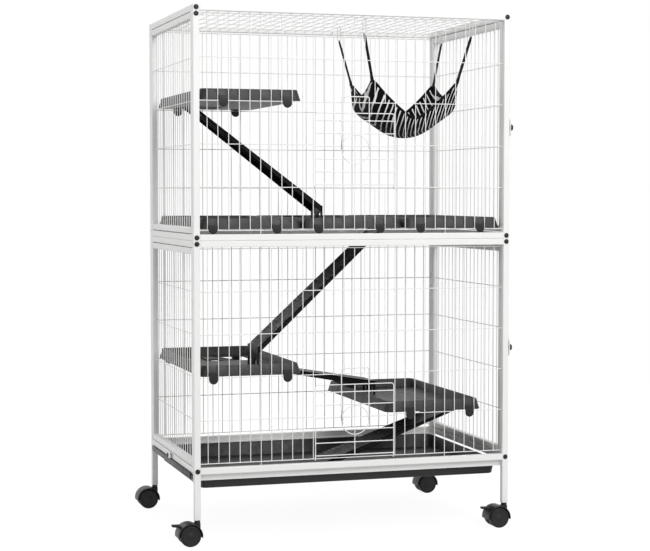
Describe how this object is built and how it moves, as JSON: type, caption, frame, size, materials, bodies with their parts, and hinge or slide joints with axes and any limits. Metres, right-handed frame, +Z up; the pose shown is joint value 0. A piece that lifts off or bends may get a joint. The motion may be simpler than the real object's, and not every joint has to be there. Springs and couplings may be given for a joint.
{
  "type": "ferret cage",
  "caption": "Tall white two-storey wire ferret cage on casters, with framed side doors, six grey shelves, ramps, a cloth hammock and a litter tray.",
  "frame": {"origin": "on the floor, in the middle of the four wheels; the frame of the cage stands 20 mm to the right of it, because the casters trail to the left", "axes": "+X to the right along the front, +Y to the back, +Z up"},
  "size_m": [0.8645, 0.556, 1.2742],
  "materials": {
    "white_powder": "white powder coat, satin",
    "grey_plastic": "moulded dark grey, slightly grained",
    "ramp_plastic": "moulded dark grey, ridged",
    "black_plastic": "moulded black, satin",
    "zinc_steel": "zinc plated",
    "sling_cloth": "soft black cloth with thin white stripes",
    "strap_webbing": "woven black strap",
    "white_plastic": "white snap clip"
  },
  "bodies": {
    "frame": {"post_front_left": "white_powder", "post_front_right": "white_powder", "post_back_left": "white_powder", "post_back_right": "white_powder", "front_top_rail": "white_powder", "front_mid_rails": "white_powder", "front_bottom_rail": "white_powder", "back_top_rail": "white_powder", "back_mid_rails": "white_powder", "back_bottom_rail": "white_powder", "side_top_rails": "white_powder", "side_mid_rails": "white_powder", "side_bottom_rails": "white_powder", "tray_guides": "white_powder", "top_mesh": "white_powder", "front_upper_mesh": "white_powder", "front_lower_mesh": "white_powder", "back_upper_mesh": "white_powder", "back_lower_mesh": "white_powder", "left_upper_panel": "white_powder", "left_lower_panel": "white_powder", "panel_pins": "zinc_steel", "frame_screws": "black_plastic", "caster_stems": "zinc_steel", "upper_left_shelf": "grey_plastic", "mid_left_shelf": "grey_plastic", "mid_centre_shelf": "grey_plastic", "mid_right_shelf": "grey_plastic", "lower_left_shelf": "grey_plastic", "lower_right_shelf": "grey_plastic", "shelf_clips": "black_plastic", "upper_ramp": "ramp_plastic", "middle_ramp": "ramp_plastic", "lower_ramp": "ramp_plastic", "tray_ramp": "ramp_plastic", "hammock_sling": "sling_cloth", "hammock_straps": "strap_webbing", "hammock_clips": "white_plastic"},
    "tray": {"litter_tray": "black_plastic"},
    "tray_stop": {"tray_stop": "white_powder"},
    "upper_front_door": {"upper_front_door": "white_powder"},
    "upper_front_latch": {"upper_front_latch": "white_powder"},
    "lower_front_door": {"lower_front_door": "white_powder"},
    "lower_front_latch": {"lower_front_latch": "white_powder"},
    "upper_side_door": {"upper_side_door": "white_powder"},
    "lower_side_door": {"lower_side_door": "white_powder"},
    "upper_side_latch": {"upper_side_latch_bar": "white_powder", "upper_side_latch_knob": "black_plastic"},
    "lower_side_latch": {"lower_side_latch_bar": "white_powder", "lower_side_latch_knob": "black_plastic"},
    "caster_fl": {"caster_housing_fl": "black_plastic"},
    "wheels_fl": {"caster_wheels_fl": "black_plastic"},
    "caster_fr": {"caster_housing_fr": "black_plastic"},
    "wheels_fr": {"caster_wheels_fr": "black_plastic"},
    "caster_bl": {"caster_housing_bl": "black_plastic"},
    "wheels_bl": {"caster_wheels_bl": "black_plastic"},
    "caster_br": {"caster_housing_br": "black_plastic"},
    "wheels_br": {"caster_wheels_br": "black_plastic"},
    "brake_fl": {"brake_lever_fl": "black_plastic"},
    "brake_fr": {"brake_lever_fr": "black_plastic"}
  },
  "joints": [
    {"name": "upper_front_door_hinge", "type": "hinge", "parent": "frame", "child": "upper_front_door", "pos_m": [0.02, -0.252, 0.8467], "axis": [1, 0, 0], "range_deg": [0, 130]},
    {"name": "lower_front_door_hinge", "type": "hinge", "parent": "frame", "child": "lower_front_door", "pos_m": [0.02, -0.252, 0.1915], "axis": [1, 0, 0], "range_deg": [0, 110]},
    {"name": "upper_front_latch_slide", "type": "slide", "parent": "upper_front_door", "child": "upper_front_latch", "axis": [0, 0, 1], "range_m": [-0.018, 0]},
    {"name": "lower_front_latch_slide", "type": "slide", "parent": "lower_front_door", "child": "lower_front_latch", "axis": [0, 0, 1], "range_m": [-0.018, 0]},
    {"name": "upper_side_door_hinge", "type": "hinge", "parent": "frame", "child": "upper_side_door", "pos_m": [0.415, 0.238, 0.9975], "axis": [0, 0, 1], "range_deg": [0, 110]},
    {"name": "lower_side_door_hinge", "type": "hinge", "parent": "frame", "child": "lower_side_door", "pos_m": [0.415, 0.238, 0.4443], "axis": [0, 0, 1], "range_deg": [0, 110]},
    {"name": "upper_side_latch_turn", "type": "hinge", "parent": "frame", "child": "upper_side_latch", "pos_m": [0.422, -0.255, 0.9952], "axis": [1, 0, 0], "range_deg": [0, 90]},
    {"name": "lower_side_latch_turn", "type": "hinge", "parent": "frame", "child": "lower_side_latch", "pos_m": [0.422, -0.255, 0.449], "axis": [1, 0, 0], "range_deg": [0, 90]},
    {"name": "tray_slide", "type": "slide", "parent": "frame", "child": "tray", "axis": [-1, 0, 0], "range_m": [0, 0.4]},
    {"name": "tray_stop_turn", "type": "hinge", "parent": "frame", "child": "tray_stop", "pos_m": [-0.3855, 0.015, 0.1755], "axis": [1, 0, 0], "range_deg": [0, 90]},
    {"name": "caster_swivel_fl", "type": "hinge", "parent": "frame", "child": "caster_fl", "pos_m": [-0.3725, -0.255, 0.05], "axis": [0, 0, 1], "continuous": true},
    {"name": "wheel_spin_fl", "type": "hinge", "parent": "caster_fl", "child": "wheels_fl", "pos_m": [-0.3925, -0.255, 0.025], "axis": [0, 1, 0], "continuous": true},
    {"name": "brake_lever_turn_fl", "type": "hinge", "parent": "caster_fl", "child": "brake_fl", "pos_m": [-0.41732, -0.255, 0.04735], "axis": [0, -1, 0], "range_deg": [0, 15]},
    {"name": "caster_swivel_fr", "type": "hinge", "parent": "frame", "child": "caster_fr", "pos_m": [0.4125, -0.255, 0.05], "axis": [0, 0, 1], "continuous": true},
    {"name": "wheel_spin_fr", "type": "hinge", "parent": "caster_fr", "child": "wheels_fr", "pos_m": [0.3925, -0.255, 0.025], "axis": [0, 1, 0], "continuous": true},
    {"name": "brake_lever_turn_fr", "type": "hinge", "parent": "caster_fr", "child": "brake_fr", "pos_m": [0.36768, -0.255, 0.04735], "axis": [0, -1, 0], "range_deg": [0, 15]},
    {"name": "caster_swivel_bl", "type": "hinge", "parent": "frame", "child": "caster_bl", "pos_m": [-0.3725, 0.255, 0.05], "axis": [0, 0, 1], "continuous": true},
    {"name": "wheel_spin_bl", "type": "hinge", "parent": "caster_bl", "child": "wheels_bl", "pos_m": [-0.3925, 0.255, 0.025], "axis": [0, 1, 0], "continuous": true},
    {"name": "caster_swivel_br", "type": "hinge", "parent": "frame", "child": "caster_br", "pos_m": [0.4125, 0.255, 0.05], "axis": [0, 0, 1], "continuous": true},
    {"name": "wheel_spin_br", "type": "hinge", "parent": "caster_br", "child": "wheels_br", "pos_m": [0.3925, 0.255, 0.025], "axis": [0, 1, 0], "continuous": true}
  ]
}
